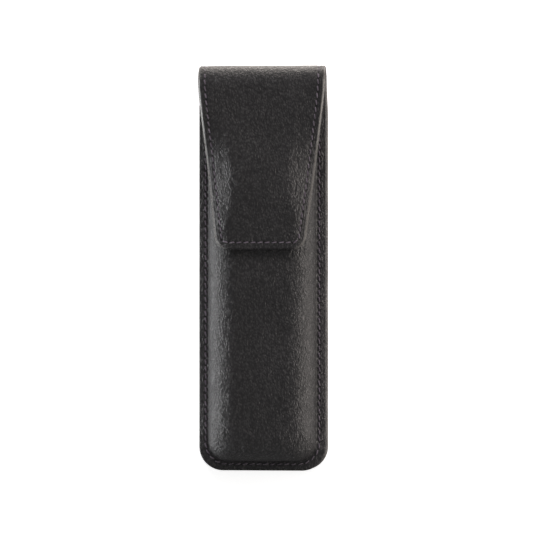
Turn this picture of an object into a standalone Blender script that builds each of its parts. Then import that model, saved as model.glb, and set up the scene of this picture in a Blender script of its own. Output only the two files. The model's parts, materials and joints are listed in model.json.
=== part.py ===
"""A slim leather slip case with a fold-over flap, lying on its back.

+X runs across the case, +Y along it towards the fold, and +Z out of its front. The origin is the middle of
the back face's footprint. Inside the script, lengths along Y are counted from the bottom edge of the case.

The outer leather of the real case is one piece that runs up the back, over the fold and down the flap. The
fold is a half octagon here: three flat strips between the back and the flap, with a crease at each of its
four corners. Every crease turns 45 degrees about a line on the outer face, and the mitred ends open on the
lining side, so the outer leather keeps its length and the flap ends up flat, in line with the back.
"""

import math

import bmesh
import bpy
from mathutils import Vector

MM = 0.001

# Driving dimensions
CASE_WIDTH = 50.0 * MM
CASE_LENGTH = 159.0 * MM  # bottom edge to the outer face of the fold
CASE_DEPTH = 19.0 * MM  # back face to the outer face of the closed flap
MOUTH_Y = 144.0 * MM  # the open end of the front panel
BOTTOM_RADIUS = 9.5 * MM
CROWN_RADIUS = 8.0 * MM  # plan corner radius of the raised front

# Sheet thicknesses
LEATHER = 1.2 * MM
LINING = 0.5 * MM
BACK_BOARD = 0.8 * MM
CORE = 0.7 * MM  # boards and magnets inside the front and the flap
GLUE_GAP = 0.2 * MM

# Seams
SEAM_INSET = 2.8 * MM
STITCH_PITCH = 2.74 * MM
THREAD_GAP = 0.25 * MM
THREAD_HEIGHT = 0.35 * MM
THREAD_HALF_WIDTH = 0.25 * MM
THREAD_HOLE_SHARE = 0.45  # size of the strand at a needle hole, as a share of its size mid-stitch
GROOVE_HALF_WIDTH = 0.6 * MM
GROOVE_DEPTH = 0.75 * MM
MOUTH_SEAM_INSET = 2.4 * MM

# Layers of the back, counted from the back face
BACK_BOARD_Z = LEATHER + GLUE_GAP
BACK_LINING_Z = BACK_BOARD_Z + BACK_BOARD + GLUE_GAP
FRONT_LINING_Z = BACK_LINING_Z + LINING + GLUE_GAP
FRONT_PANEL_Z = FRONT_LINING_Z + LINING + GLUE_GAP
FLANGE_TOP = FRONT_PANEL_Z + LEATHER

# Layers of the front and the flap, counted inwards from the outer face
CORE_DEPTH = LEATHER + GLUE_GAP
LINING_DEPTH = CORE_DEPTH + CORE + GLUE_GAP
FLAP_STACK = LINING_DEPTH + LINING
FLAP_CLEARANCE = 0.95 * MM  # room for the stitches between the flap and the front

# The raised front: an elliptical shoulder round a flat middle
BASE_INSET = 3.5 * MM
SHOULDER = 11.5 * MM
CENTRE_INSET = BASE_INSET + SHOULDER
CROWN_TOP = CASE_DEPTH - FLAP_STACK - FLAP_CLEARANCE
CROWN_RISE = CROWN_TOP - FLANGE_TOP
SHOULDER_ANGLES = [math.radians(a) for a in (12, 30, 48, 68, 90)]
STIFFENER_FIRST_RING = 3  # the front board starts part of the way up the shoulder
FRONT_BOARD_TOP_Y = MOUTH_Y - 5.0 * MM

# The layer between back leather and back lining: a board, with a filler strip round it under the seam
BACK_BOARD_INSET = 5.8 * MM
FILLER_WIDTH = BACK_BOARD_INSET - 0.3 * MM
BACK_BOARD_SHORT = 1.5 * MM  # how far the board and filler stop below the crease

# The fold: a half octagon of this side, round the case's depth
CREASE_ANGLE = math.radians(45)
FOLD_SIDE = CASE_DEPTH * math.tan(CREASE_ANGLE / 2)
MITRE = math.tan(CREASE_ANGLE / 2)
CREASE_GAP = 0.3 * MM
BACK_CREASE_Y = CASE_LENGTH - (CASE_DEPTH - FOLD_SIDE) / 2
CREASES = [
    Vector((0, BACK_CREASE_Y, 0)),
    Vector((0, CASE_LENGTH, (CASE_DEPTH - FOLD_SIDE) / 2)),
    Vector((0, CASE_LENGTH, (CASE_DEPTH + FOLD_SIDE) / 2)),
    Vector((0, BACK_CREASE_Y, CASE_DEPTH)),
]
FOLD_STITCHES = 2

# The flap, measured down from the front crease
FLAP_LENGTH = 66.5 * MM
FLAP_TIP_HALF_WIDTH = 17.1 * MM  # where the straight sides would meet the tip line
FLAP_TAPER = (CASE_WIDTH / 2 - FLAP_TIP_HALF_WIDTH) / FLAP_LENGTH
FLAP_TIP_RADIUS = 5.5 * MM
FLAP_SEAM_INSET = 2.7 * MM
FLAP_FLAT_HALF = 11.0 * MM  # the flap is flat this far either side of its middle
FLAT_TO_EDGE = 1.6 * FLAP_SEAM_INSET  # but stops at least this far from its edge
FLAP_WING_SLOPE = 0.30  # and slopes down like this outside it, once clear of the fold
FLAP_WING_START = 35.0 * MM
FLAP_BOARD_INSET = 4.2 * MM
FLAP_BOARD_START = 6.0 * MM
FLAP_BOARD_SMALLEST_RADIUS = 1.5 * MM

# Closure
MAGNET_Y = 114.0 * MM
MAGNET_RADIUS = 8.0 * MM
MAGNET_HOLE_RADIUS = 8.4 * MM
MAGNET_SIDES = 32

# Mesh steps
SIDE_STEPS = 3
CORNER_STEPS = 6
FLAP_SIDE_ROWS = 9
FLAP_CORNER_ROWS = 5
SHARP_FROM = math.radians(32)  # edges that turn more than this stay sharp

OVERALL_LENGTH = CASE_LENGTH + THREAD_GAP + THREAD_HEIGHT


# ---------------------------------------------------------------- scene, materials and objects


def clear_scene():
    for obj in list(bpy.data.objects):
        bpy.data.objects.remove(obj)


def make_material(name, colour, roughness, metallic=0.0):
    made = bpy.data.materials.new(name)
    made.use_nodes = True
    shader = made.node_tree.nodes["Principled BSDF"]
    shader.inputs["Base Color"].default_value = (*colour, 1)
    shader.inputs["Roughness"].default_value = roughness
    shader.inputs["Metallic"].default_value = metallic
    made.diffuse_color = (*colour, 1)
    return made


def add_empty(name, parent=None, location=(0, 0, 0)):
    """An empty whose location is given in the case's own coordinates."""
    empty = bpy.data.objects.new(name, None)
    bpy.context.scene.collection.objects.link(empty)
    place(empty, parent, Vector(location))
    return empty


def place(obj, parent, location):
    """Parents obj, and puts its origin at location in the case's own coordinates."""
    obj.parent = parent
    obj.location = location - (Vector(parent["at"]) if parent else Vector())
    obj["at"] = list(location)


def add_solid(name, bm, finish, joint):
    """Turns a bmesh in the case's coordinates into a named object whose origin is on its joint."""
    bmesh.ops.recalc_face_normals(bm, faces=bm.faces)
    pivot = Vector(joint["at"])
    bmesh.ops.translate(bm, verts=bm.verts, vec=-pivot)
    mesh = bpy.data.meshes.new(name)
    bm.to_mesh(mesh)
    bm.free()
    mesh.shade_smooth()
    mesh.set_sharp_from_angle(angle=SHARP_FROM)
    mesh.materials.append(finish)
    obj = bpy.data.objects.new(name, mesh)
    bpy.context.scene.collection.objects.link(obj)
    place(obj, joint, pivot)
    return obj


def cut(obj, cutter):
    """Takes the cutter's shape out of obj with a Boolean, and hides the cutter."""
    cutter.hide_render = True
    cutter.display_type = "WIRE"
    difference = obj.modifiers.new("cut_" + cutter.name, "BOOLEAN")
    difference.operation = "DIFFERENCE"
    difference.object = cutter


# ---------------------------------------------------------------- closed solids from point lists


def border_edges(faces):
    """The directed edges that only one face uses."""
    used = {(f[i], f[(i + 1) % len(f)]) for f in faces for i in range(len(f))}
    return [(a, b) for a, b in used if (b, a) not in used]


def closed_shell(upper, lower, faces):
    """A bmesh of the solid between two surfaces whose points share the same faces."""
    bm = bmesh.new()
    top = [bm.verts.new(p) for p in upper]
    bottom = [bm.verts.new(p) for p in lower]
    for face in faces:
        bm.faces.new([top[i] for i in face])
        bm.faces.new([bottom[i] for i in reversed(face)])
    for a, b in border_edges(faces):
        bm.faces.new([top[b], top[a], bottom[a], bottom[b]])
    return bm


def strip_faces(rings, points):
    """Quads between each ring of points and the next."""
    return [
        (r * points + i, r * points + i + 1, (r + 1) * points + i + 1, (r + 1) * points + i)
        for r in range(rings - 1)
        for i in range(points - 1)
    ]


def ladder_faces(first, points):
    """Quads that close a symmetric ring, each from its left side across to its right."""
    last = first + points - 1
    return [(first + i, first + i + 1, last - i - 1, last - i) for i in range(points // 2 - 1)]


def cylinder(radius, low_z, high_z, centre_y):
    bm = bmesh.new()
    bmesh.ops.create_cone(
        bm, cap_ends=True, segments=MAGNET_SIDES, radius1=radius, radius2=radius, depth=high_z - low_z
    )
    bmesh.ops.translate(bm, verts=bm.verts, vec=(0, centre_y, (low_z + high_z) / 2))
    return bm


# ---------------------------------------------------------------- the body's outline and its crown


def corner_radius(inset):
    """Plan radius of a ring's bottom corners: the case's at its edge, the crown's from its base inwards."""
    share = min(inset / BASE_INSET, 1)
    return BOTTOM_RADIUS + (CROWN_RADIUS - BOTTOM_RADIUS) * share


def body_ring(inset, top_y):
    """(x, y) points of the outline moved inwards, down the left side, round the bottom and up the right."""
    half, radius = CASE_WIDTH / 2 - inset, corner_radius(inset)
    corner_y = inset + radius
    left = [(-half, top_y + (corner_y - top_y) * i / SIDE_STEPS) for i in range(SIDE_STEPS)]
    for i in range(CORNER_STEPS + 1):
        angle = math.pi / 2 * i / CORNER_STEPS
        left.append((-half + radius - radius * math.cos(angle), corner_y - radius * math.sin(angle)))
    return left + [(-x, y) for x, y in reversed(left)]


def ring_points(rings):
    """3-D points of a list of (inset, z, top_y) rings, and how many points one ring has."""
    outlines = [(body_ring(inset, top_y), z) for inset, z, top_y in rings]
    points = [Vector((x, y, z)) for outline, z in outlines for x, y in outline]
    return points, len(outlines[0][0])


def ring_shell(upper, lower, closed=True):
    """The solid between two stacks of rings, with the middle closed across or left open as a U."""
    top, count = ring_points(upper)
    bottom, _ = ring_points(lower)
    faces = strip_faces(len(upper), count)
    if closed:
        faces += ladder_faces((len(upper) - 1) * count, count)
    return closed_shell(top, bottom, faces)


def crown_rings(depth, flange_z, top_y=MOUTH_Y):
    """Rings of the surface depth below the front's outer face: flange edge, crown base, shoulder."""
    rings = [(0, flange_z, top_y), (BASE_INSET + depth, flange_z, top_y)]
    for angle in SHOULDER_ANGLES:
        inset = CENTRE_INSET - (SHOULDER - depth) * math.cos(angle)
        rings.append((inset, FLANGE_TOP + (CROWN_RISE - depth) * math.sin(angle), top_y))
    return rings


def back_top(z):
    """Where a layer of the back at height z meets the mitre of the first crease."""
    return BACK_CREASE_Y - CREASE_GAP / 2 - z * MITRE


# ---------------------------------------------------------------- the flap


def flap_half_width(s, inset=0.0):
    """Half the flap's width at s below the front crease: straight tapering sides and round tip corners."""
    radius = max(FLAP_TIP_RADIUS - inset, FLAP_BOARD_SMALLEST_RADIUS)
    centre_s = FLAP_LENGTH - inset - radius
    slant = math.hypot(1, FLAP_TAPER)
    side = CASE_WIDTH / 2 - FLAP_TAPER * s - inset * slant
    if s <= centre_s + radius * FLAP_TAPER / slant:
        return side
    centre_x = CASE_WIDTH / 2 - FLAP_TAPER * centre_s - (inset + radius) * slant
    return centre_x + math.sqrt(max(radius**2 - (s - centre_s) ** 2, 0))


def flap_rows(start, inset=0.0):
    """Distances below the front crease at which the flap has a row of points."""
    radius = max(FLAP_TIP_RADIUS - inset, FLAP_BOARD_SMALLEST_RADIUS)
    centre_s, lean = FLAP_LENGTH - inset - radius, math.atan(FLAP_TAPER)
    bend = centre_s + radius * math.sin(lean)
    rows = [start + (bend - start) * i / FLAP_SIDE_ROWS for i in range(FLAP_SIDE_ROWS)]
    for i in range(FLAP_CORNER_ROWS + 1):
        angle = lean + (math.pi / 2 - lean) * i / FLAP_CORNER_ROWS
        rows.append(centre_s + radius * math.sin(angle))
    return rows


def flap_z(x, s, depth):
    """Height of the flap's surface at depth below its outer face."""
    slope = FLAP_WING_SLOPE * min(s / FLAP_WING_START, 1)
    return CASE_DEPTH - depth - slope * max(abs(x) - FLAP_FLAT_HALF, 0)


def flap_point(x, s, depth):
    return Vector((x, BACK_CREASE_Y - s, flap_z(x, s, depth)))


def flap_columns(half):
    """x positions across one row of the flap, from its left edge to its right."""
    seam = half - FLAP_SEAM_INSET
    flat = min(FLAP_FLAT_HALF, half - FLAT_TO_EDGE)
    right = [flat, (flat + seam) / 2, seam, half]
    return [-x for x in reversed(right)] + [0.0] + right


def flap_layer(depth, thickness, inset=0.0, start=None):
    """A closed sheet of the flap. Without a start it is mitred against the front crease."""
    surfaces = []
    for level in (depth, depth + thickness):
        top = start if start is not None else level * MITRE + CREASE_GAP / 2
        rows = [(s, flap_columns(flap_half_width(s, inset))) for s in flap_rows(top, inset)]
        surfaces.append([flap_point(x, s, level) for s, columns in rows for x in columns])
    columns = len(flap_columns(CASE_WIDTH / 2))
    faces = strip_faces(len(surfaces[0]) // columns, columns)
    return closed_shell(*surfaces, faces)


# ---------------------------------------------------------------- thread


def spread_along(points, stitches):
    """Two points per stitch, evenly spaced along a polyline, ending on a needle hole."""
    lengths = [(b - a).length for a, b in zip(points, points[1:])]
    step = sum(lengths) / (2 * stitches)
    found, leg, done = [], 0, 0.0
    for i in range(2 * stitches + 1):
        while leg < len(lengths) - 1 and i * step > done + lengths[leg]:
            done += lengths[leg]
            leg += 1
        share = min((i * step - done) / lengths[leg], 1)
        found.append(points[leg].lerp(points[leg + 1], share))
    return found


def thread(path, normal_at, stitches=None):
    """A strand laid on the path: triangular in section, thick in mid-stitch, thin at each needle hole."""
    if stitches is None:
        length = sum((b - a).length for a, b in zip(path, path[1:]))
        stitches = round(length / STITCH_PITCH)
    along = spread_along(path, stitches)
    bm = bmesh.new()
    sections = []
    for i, point in enumerate(along):
        ahead = along[min(i + 1, len(along) - 1)] - along[max(i - 1, 0)]
        up = normal_at(point)
        side = ahead.cross(up).normalized()
        size = 1 if i % 2 else THREAD_HOLE_SHARE
        foot = point + up * THREAD_GAP
        corners = (
            foot - side * THREAD_HALF_WIDTH * size,
            foot + side * THREAD_HALF_WIDTH * size,
            foot + up * THREAD_HEIGHT * size,
        )
        sections.append([bm.verts.new(c) for c in corners])
    for a, b in zip(sections, sections[1:]):
        for k in range(3):
            bm.faces.new([a[k], a[(k + 1) % 3], b[(k + 1) % 3], b[k]])
    bm.faces.new(sections[0][::-1])
    bm.faces.new(sections[-1])
    return bm


def body_seam_path(z, top_y):
    """The seam line round the body at one height."""
    return [Vector((x, y, z)) for x, y in body_ring(SEAM_INSET, top_y)]


def flap_seam_path(depth):
    """The seam line down one side of the flap, across the tip and up the other side."""
    rows = flap_rows(FLAP_STACK * MITRE + STITCH_PITCH / 2, FLAP_SEAM_INSET)
    right = [flap_point(flap_half_width(s, FLAP_SEAM_INSET), s, depth) for s in rows]
    right.append(flap_point(FLAP_FLAT_HALF, rows[-1], depth))
    return [Vector((-p.x, p.y, p.z)) for p in right] + right[::-1]


def mouth_seam_path():
    """The seam line across the raised front, below the mouth, corner by corner of the shoulder's facets."""
    rings = crown_rings(0, FLANGE_TOP)[2:]
    left = [Vector((inset - CASE_WIDTH / 2, MOUTH_Y - MOUTH_SEAM_INSET, z)) for inset, z, _ in rings]
    return left + [Vector((-p.x, p.y, p.z)) for p in reversed(left)]


def crown_normal(point):
    """Outward direction of the shoulder's ellipse at a point of the mouth seam."""
    flat_half = CASE_WIDTH / 2 - CENTRE_INSET
    across = math.copysign(max(abs(point.x) - flat_half, 0), point.x)
    up = max(point.z - FLANGE_TOP, 0)
    return Vector((across / SHOULDER**2, 0, up / CROWN_RISE**2)).normalized()


def straight_up(_point):
    return Vector((0, 0, 1))


def straight_down(_point):
    return Vector((0, 0, -1))


# ---------------------------------------------------------------- assemblies


def build_back(joint, leather, board, suede):
    panel = ring_shell([(0, LEATHER, back_top(LEATHER))], [(0, 0, back_top(0))])
    back_panel = add_solid("back_panel", panel, leather, joint)
    reach = CASE_LENGTH
    sides = (SEAM_INSET - GROOVE_HALF_WIDTH, SEAM_INSET + GROOVE_HALF_WIDTH)
    floor = [(side, GROOVE_DEPTH, reach) for side in sides]
    outside = [(side, -LEATHER, reach) for side in sides]
    groove = ring_shell(floor, outside, closed=False)
    cut(back_panel, add_solid("stitching_groove", groove, leather, joint))

    low, high = BACK_BOARD_Z, BACK_BOARD_Z + BACK_BOARD
    top = back_top(high) - BACK_BOARD_SHORT
    stiffener = ring_shell([(BACK_BOARD_INSET, high, top)], [(BACK_BOARD_INSET, low, top)])
    add_solid("back_stiffener", stiffener, board, joint)
    filler = ring_shell(
        [(0, high, top), (FILLER_WIDTH, high, top)], [(0, low, top), (FILLER_WIDTH, low, top)], closed=False
    )
    add_solid("seam_filler", filler, leather, joint)

    low, high = BACK_LINING_Z, BACK_LINING_Z + LINING
    lining = ring_shell([(0, high, back_top(high))], [(0, low, back_top(low))])
    add_solid("back_lining", lining, suede, joint)


def build_front(joint, leather, board, suede, metal):
    panel = ring_shell(crown_rings(0, FLANGE_TOP), crown_rings(LEATHER, FRONT_PANEL_Z))
    add_solid("front_panel", panel, leather, joint)
    upper = crown_rings(LINING_DEPTH, FRONT_LINING_Z + LINING)
    lower = crown_rings(LINING_DEPTH + LINING, FRONT_LINING_Z)
    lining = ring_shell(upper, lower)
    add_solid("front_lining", lining, suede, joint)

    upper = crown_rings(CORE_DEPTH, FLANGE_TOP, FRONT_BOARD_TOP_Y)[STIFFENER_FIRST_RING:]
    lower = crown_rings(CORE_DEPTH + CORE, FLANGE_TOP, FRONT_BOARD_TOP_Y)[STIFFENER_FIRST_RING:]
    front_stiffener = add_solid("front_stiffener", ring_shell(upper, lower), board, joint)
    hole = cylinder(MAGNET_HOLE_RADIUS, CROWN_TOP - FLAP_STACK, CROWN_TOP, MAGNET_Y)
    cut(front_stiffener, add_solid("front_magnet_hole", hole, board, joint))
    top = CROWN_TOP - CORE_DEPTH
    add_solid("front_magnet", cylinder(MAGNET_RADIUS, top - CORE, top, MAGNET_Y), metal, joint)


def build_body_threads(joint, cotton):
    mouth_end = MOUTH_Y - STITCH_PITCH / 2
    front = thread(body_seam_path(FLANGE_TOP, mouth_end), straight_up)
    add_solid("front_seam_thread", front, cotton, joint)
    crease_end = back_top(LEATHER) - STITCH_PITCH / 2
    back = thread(body_seam_path(GROOVE_DEPTH, crease_end), straight_down)
    add_solid("back_seam_thread", back, cotton, joint)
    add_solid("mouth_thread", thread(mouth_seam_path(), crown_normal), cotton, joint)


def outwards_of(along):
    """The direction out of the fold, square to a strip that runs along the given direction."""
    return Vector((0, along.z, -along.y))


def fold_strip(start, end, depth, thickness):
    """A flat strip between two creases, mitred at both ends."""
    along = (end - start).normalized()
    inwards = -outwards_of(along)
    outline = []
    for level in (depth, depth + thickness):
        short = along * (level * MITRE + CREASE_GAP / 2)
        pair = [start + short + inwards * level, end - short + inwards * level]
        outline += pair if level == depth else pair[::-1]
    half = Vector((CASE_WIDTH / 2, 0, 0))
    return closed_shell([p + half for p in outline], [p - half for p in outline], [(0, 1, 2, 3)])


def build_fold(name, joint, start, end, leather, suede, cotton):
    along = (end - start).normalized()
    outwards = outwards_of(along)
    add_solid(name + "_leather", fold_strip(start, end, 0, LEATHER), leather, joint)
    add_solid(name + "_lining", fold_strip(start, end, CORE_DEPTH, LINING), suede, joint)
    middle, run = (start + end) / 2, along * STITCH_PITCH * FOLD_STITCHES / 2
    for side, sign in (("left", -1), ("right", 1)):
        offset = Vector((sign * (CASE_WIDTH / 2 - SEAM_INSET), 0, 0))
        path = [middle - run + offset, middle + run + offset]
        strand = thread(path, lambda _point: outwards, FOLD_STITCHES)
        add_solid(f"{name}_thread_{side}", strand, cotton, joint)


def build_flap(joint, leather, board, suede, metal, cotton):
    add_solid("flap_leather", flap_layer(0, LEATHER), leather, joint)
    add_solid("flap_lining", flap_layer(LINING_DEPTH, LINING), suede, joint)
    core = flap_layer(CORE_DEPTH, CORE, FLAP_BOARD_INSET, FLAP_BOARD_START)
    flap_stiffener = add_solid("flap_stiffener", core, board, joint)
    hole = cylinder(MAGNET_HOLE_RADIUS, CASE_DEPTH - FLAP_STACK, CASE_DEPTH, MAGNET_Y)
    cut(flap_stiffener, add_solid("flap_magnet_hole", hole, board, joint))
    top = CASE_DEPTH - CORE_DEPTH
    add_solid("flap_magnet", cylinder(MAGNET_RADIUS, top - CORE, top, MAGNET_Y), metal, joint)
    add_solid("flap_thread", thread(flap_seam_path(0), straight_up), cotton, joint)
    add_solid("flap_under_thread", thread(flap_seam_path(FLAP_STACK), straight_down), cotton, joint)


def main():
    clear_scene()
    leather = make_material("black_leather", (0.030, 0.028, 0.030), 0.45)
    suede = make_material("charcoal_lining", (0.060, 0.058, 0.060), 0.90)
    board = make_material("stiffener_board", (0.30, 0.23, 0.16), 0.85)
    metal = make_material("magnet_nickel", (0.60, 0.60, 0.58), 0.30, 1.0)
    cotton = make_material("sewing_thread", (0.080, 0.070, 0.085), 0.70)

    case = add_empty("case")
    case.location = (0, -OVERALL_LENGTH / 2, 0)
    build_back(case, leather, board, suede)
    build_front(case, leather, board, suede, metal)
    build_body_threads(case, cotton)

    joint = case
    for name, start, end in zip(("fold_rear", "fold_top", "fold_front"), CREASES, CREASES[1:]):
        joint = add_empty(name, joint, start)
        build_fold(name, joint, start, end, leather, suede, cotton)
    flap = add_empty("flap", joint, CREASES[3])
    build_flap(flap, leather, board, suede, metal, cotton)


main()
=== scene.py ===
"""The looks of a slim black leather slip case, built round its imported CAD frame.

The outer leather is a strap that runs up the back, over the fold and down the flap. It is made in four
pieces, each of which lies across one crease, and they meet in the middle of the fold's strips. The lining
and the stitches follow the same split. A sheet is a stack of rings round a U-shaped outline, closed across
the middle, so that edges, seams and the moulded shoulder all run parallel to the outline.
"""

import json
import math

import bmesh
import bpy
import numpy as np
from mathutils import Matrix, Vector, noise


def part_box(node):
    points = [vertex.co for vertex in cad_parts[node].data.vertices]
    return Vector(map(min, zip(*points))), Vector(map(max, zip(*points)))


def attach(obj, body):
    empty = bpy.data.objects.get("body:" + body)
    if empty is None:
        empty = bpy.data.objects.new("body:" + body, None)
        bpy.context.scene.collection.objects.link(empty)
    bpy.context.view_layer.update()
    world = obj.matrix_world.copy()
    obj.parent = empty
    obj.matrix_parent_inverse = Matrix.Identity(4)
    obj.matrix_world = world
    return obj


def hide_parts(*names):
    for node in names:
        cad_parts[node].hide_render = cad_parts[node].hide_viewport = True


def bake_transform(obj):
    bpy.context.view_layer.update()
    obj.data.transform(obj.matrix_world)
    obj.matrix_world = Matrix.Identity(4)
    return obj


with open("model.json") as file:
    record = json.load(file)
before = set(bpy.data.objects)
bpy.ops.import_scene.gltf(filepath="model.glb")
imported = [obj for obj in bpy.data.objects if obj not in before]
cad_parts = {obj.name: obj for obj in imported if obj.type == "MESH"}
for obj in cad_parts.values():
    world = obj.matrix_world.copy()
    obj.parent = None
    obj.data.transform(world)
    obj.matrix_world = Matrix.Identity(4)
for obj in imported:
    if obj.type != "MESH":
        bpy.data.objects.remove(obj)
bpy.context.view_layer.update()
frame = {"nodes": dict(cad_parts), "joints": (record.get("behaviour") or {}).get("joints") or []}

MM = 0.001

# ---- sizes read from the frame, in metres

back_low, back_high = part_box("back_panel")
_, front_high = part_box("front_panel")
flap_low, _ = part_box("flap_leather")
magnet_low, magnet_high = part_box("flap_magnet")
creases = [Vector(joint["pos_m"]) for joint in frame["joints"]]

BOTTOM_Y = back_low.y
HALF_WIDTH = back_high.x
MOUTH_Y = front_high.y
CROWN_TOP = front_high.z
FOLD_RADIUS = creases[3].z / 2  # the last crease lies on the flap's outer face
FOLD_Y = creases[1].y - FOLD_RADIUS  # where the back ends and the fold's arc begins
TIP_Y = flap_low.y
MAGNET_Y = (magnet_low.y + magnet_high.y) / 2

# ---- design sizes

BODY_RADIUS = 9.5 * MM
CROWN_RADIUS = 8.0 * MM
CORNER_TIGHTENING = 0.43  # how fast the body's corners tighten from the edge inwards
SEAM_INSET = 2.6 * MM
SKIN = 1.2 * MM  # one thickness of leather
TURNED = 2.25 * MM  # leather turned over at an edge
TURNED_WIDTH = 4.0 * MM
LINING_DEPTH = 2.33 * MM  # outer face to the lining
LINING = 0.5 * MM
LINING_INSET = 1.3 * MM  # the linings stop this far inside the flap's and fold's edges, and below the mouth

FLANGE_TOP = 5.0 * MM
RIM_FALL, RIM_FALL_WIDTH = 0.65 * MM, 3.2 * MM  # the rim drops by this much at its edge, over this width
BASE_INSET = 3.8 * MM  # where the rim ends and the crown rises
CENTRE_INSET = 15.0 * MM  # where the crown is level
SHOULDER = CENTRE_INSET - BASE_INSET
FRONT_SKIN = 1.05 * MM
CROWN_RISE = CROWN_TOP - FLANGE_TOP
BACK_SKIN = 1.22 * MM
BACK_HALF = HALF_WIDTH + 0.35 * MM  # the back is cut a little wider than the front

FOLD_HALF = 24.9 * MM
FLAP_TAPER = 0.1225  # narrowing on each side for each unit of length
FLAP_RADIUS = 5.5 * MM
FLAP_SEAM = 2.7 * MM
WING_FLAT_HALF = 11.3 * MM  # the flap is flat this far either side of its middle
WING_SLOPE = 0.45  # and slopes down like this outside it
WING_TOP, WING_FULL = 9.0 * MM, 36.0 * MM  # distances below the fold where that begins and is full
WING_SOFTNESS = 1.2 * MM  # rounding between the flat middle and the slope
WING_DISC_WIDENING = 1.7 * MM  # the flat middle is this much wider away from the magnet
WING_DISC_NEAR, WING_DISC_FAR = 5.0 * MM, 17.0 * MM  # distances from the magnet over which it widens
WING_TIP_FADE = 0.35  # share of the slope lost at the tip
WING_TIP_START, WING_TIP_STOP = 14.0 * MM, 2.0 * MM  # distances from the tip over which it is lost
STRAP_SHIFT = 0.4 * MM  # the strap is sewn on a little to one side
TIP_SHIFT = 0.5 * MM  # and its tip leans back to the other
TIP_DROP = 0.8 * MM  # the tip curls down on to the front
TIP_DROP_LENGTH, TIP_DROP_RUNOUT = 14.0 * MM, 6.0 * MM  # the drop begins before the tip and would end past it

STITCH_PITCH = 2.74 * MM
STITCH_LENGTH = 2.2 * MM
STITCH_RADIUS = 0.27 * MM
STITCH_SLANT = math.radians(13)
STITCH_DIVE = 0.42 * MM  # how far a stitch's ends go down into their holes
STITCH_SIDES = 8
NEEDLE_HOLE = 0.36 * MM
ROW_STEP = 0.4533 * MM  # spacing of a sheet's rows: about six rows to a stitch

EIGHTH = math.radians(45) * FOLD_RADIUS  # length of leather over one crease
FLAP_START = 4 * EIGHTH
FLAP_PIECE_START = 3 * EIGHTH  # the flap's piece begins in the middle of the fold's front strip
FLAP_END = FLAP_START + FOLD_Y - TIP_Y
MAGNET_AT = FLAP_START + FOLD_Y - MAGNET_Y
BACK_END = FOLD_Y - BOTTOM_Y
FRONT_LENGTH = MOUTH_Y - BOTTOM_Y


# ---- small numeric helpers


def smooth(low, high, value):
    """0 below low, 1 above high, and a smooth step between."""
    t = np.clip((np.asarray(value, float) - low) / (high - low), 0, 1)
    return t * t * (3 - 2 * t)


def bell(value, width):
    return np.exp(-((np.asarray(value, float) / width) ** 2))


def soft_ramp(value, blend):
    """0 below zero and the value above it, rounded at zero."""
    return (value + np.sqrt(value**2 + blend**2)) / 2


def wander(u, v, size, seed):
    """Smooth noise from -1 to 1 on a plane, with bumps about the given size."""
    return np.array([noise.noise((a, b, seed * 3.7)) for a, b in zip(u / size, v / size)])


def nearest(x, s, spots):
    """Distance from each (x, s) to the nearest spot."""
    far = np.full(len(x), 1.0)
    if len(spots):
        far = np.hypot(x[:, None] - spots[None, :, 0], s[:, None] - spots[None, :, 1]).min(axis=1)
    return far


def lengths(path):
    """The distance along a path to each of its points."""
    return np.concatenate([[0], np.cumsum(np.hypot(*np.diff(path, axis=0).T))])


def centred(length, pitch):
    """Positions a pitch apart, in the middle of a length."""
    number = int(length / pitch)
    return length / 2 + pitch * (np.arange(number) - (number - 1) / 2)


# ---- outlines


class Outline:
    """A U: two sides that start at s = 0, round corners, and a straight end at s = length."""

    def __init__(
        self, half, length, radius, taper=0.0, row_step=ROW_STEP, columns=36, corner_rows=24, first=()
    ):
        """Half is a function of s, and radius of the inset. First lists rows with their own spacing."""
        self.half = half
        self.length = length
        self.radius = radius
        self.slant = math.hypot(1, taper)
        self.lean = math.atan(taper)
        self.columns = columns
        self.corner_rows = corner_rows
        self.first = np.array(first, float)
        self.start = self.first[-1] if len(self.first) else 0.0
        self.steps = int((length - radius(0) - self.start) / row_step)
        self.left = max(len(self.first) - 1, 0) + self.steps + corner_rows
        self.count = 2 * self.left + columns + 1

    def ring(self, inset):
        """Points (x, s) of the outline moved inwards, from the left side's start round to the right's."""
        radius = self.radius(inset)
        centre_s = self.length - inset - radius
        bend_s = centre_s + radius * math.sin(self.lean)
        side_s = np.concatenate([self.first[:-1], np.linspace(self.start, bend_s, self.steps + 1)[:-1]])
        side_x = self.half(side_s) - inset * self.slant
        centre_x = float(self.half(np.array([centre_s]))[0]) - (inset + radius) * self.slant
        angle = np.linspace(self.lean, math.pi / 2, self.corner_rows + 1)
        x = np.concatenate([side_x, centre_x + radius * np.cos(angle)])
        s = np.concatenate([side_s, centre_s + radius * np.sin(angle)])
        across = np.linspace(-centre_x, centre_x, self.columns + 1)[1:-1]
        end = np.full(len(across), self.length - inset)
        return np.stack([np.concatenate([-x, across, x[::-1]]), np.concatenate([s, end, s[::-1]])], axis=1)

    def spaced(self, inset, pitch, start=0.0):
        """Points (x, s) and directions along the outline at one inset, a pitch apart, alike on both sides."""
        tolerance, probe = 1e-9, 0.2 * MM
        ring = self.ring(inset)
        ring = ring[ring[:, 1] >= start - tolerance]
        along = lengths(ring)
        at = centred(along[-1], pitch)
        spots, ahead, behind = (
            np.stack([np.interp(at + shift, along, ring[:, k]) for k in (0, 1)], axis=1)
            for shift in (0, probe, -probe))
        way = ahead - behind
        return spots, way / np.linalg.norm(way, axis=1)[:, None]


# ---- meshes


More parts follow.
